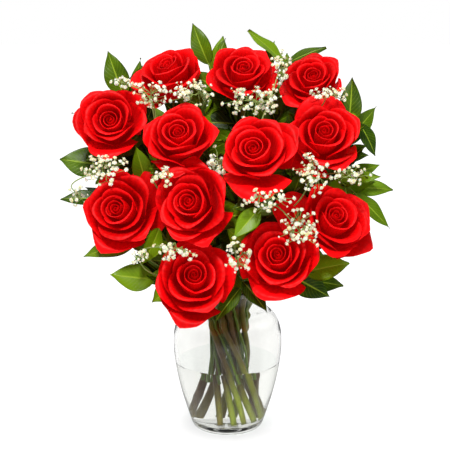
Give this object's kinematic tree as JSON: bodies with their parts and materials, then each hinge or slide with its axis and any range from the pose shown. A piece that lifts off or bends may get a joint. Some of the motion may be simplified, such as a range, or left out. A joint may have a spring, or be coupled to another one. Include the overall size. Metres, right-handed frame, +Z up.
{
  "type": "roses in a vase",
  "caption": "Bouquet of open red roses with glossy green foliage and baby's breath, standing in water in a clear glass ginger-jar vase.",
  "frame": {"origin": "centre of the vase's flat foot on the table", "axes": "+Z up along the vase's axis, -Y towards the bouquet's show side, +X to the right seen from that side"},
  "size_m": [0.383, 0.2653, 0.4635],
  "materials": {
    "vase_glass": "clear and polished",
    "water": "still clear water",
    "rose_petals": "velvety, deep saturated red",
    "rose_stem": "smooth olive green with brown scars",
    "foliage": "leathery and glossy, paler below",
    "gypsophila": "matt cream-white blossoms on thin green branches"
  },
  "bodies": {
    "root": {"glass_vase": "vase_glass", "water": "water", "rose_bloom_01": "rose_petals", "rose_stem_01": "rose_stem", "rose_bloom_02": "rose_petals", "rose_stem_02": "rose_stem", "rose_bloom_03": "rose_petals", "rose_stem_03": "rose_stem", "rose_bloom_04": "rose_petals", "rose_stem_04": "rose_stem", "rose_bloom_05": "rose_petals", "rose_stem_05": "rose_stem", "rose_bloom_06": "rose_petals", "rose_stem_06": "rose_stem", "rose_bloom_07": "rose_petals", "rose_stem_07": "rose_stem", "rose_bloom_08": "rose_petals", "rose_stem_08": "rose_stem", "rose_bloom_09": "rose_petals", "rose_stem_09": "rose_stem", "rose_bloom_10": "rose_petals", "rose_stem_10": "rose_stem", "rose_bloom_11": "rose_petals", "rose_stem_11": "rose_stem", "rose_bloom_12": "rose_petals", "rose_stem_12": "rose_stem", "foliage_sprig_01": "foliage", "foliage_sprig_02": "foliage", "foliage_sprig_03": "foliage", "foliage_sprig_04": "foliage", "foliage_sprig_05": "foliage", "foliage_sprig_06": "foliage", "foliage_sprig_07": "foliage", "foliage_sprig_08": "foliage", "foliage_sprig_09": "foliage", "foliage_sprig_10": "foliage", "foliage_sprig_11": "foliage", "foliage_sprig_12": "foliage", "gypsophila_spray_01": "gypsophila", "gypsophila_spray_02": "gypsophila", "gypsophila_spray_03": "gypsophila", "gypsophila_spray_04": "gypsophila", "gypsophila_spray_05": "gypsophila", "gypsophila_spray_06": "gypsophila", "gypsophila_spray_07": "gypsophila"}
  },
  "joints": []
}
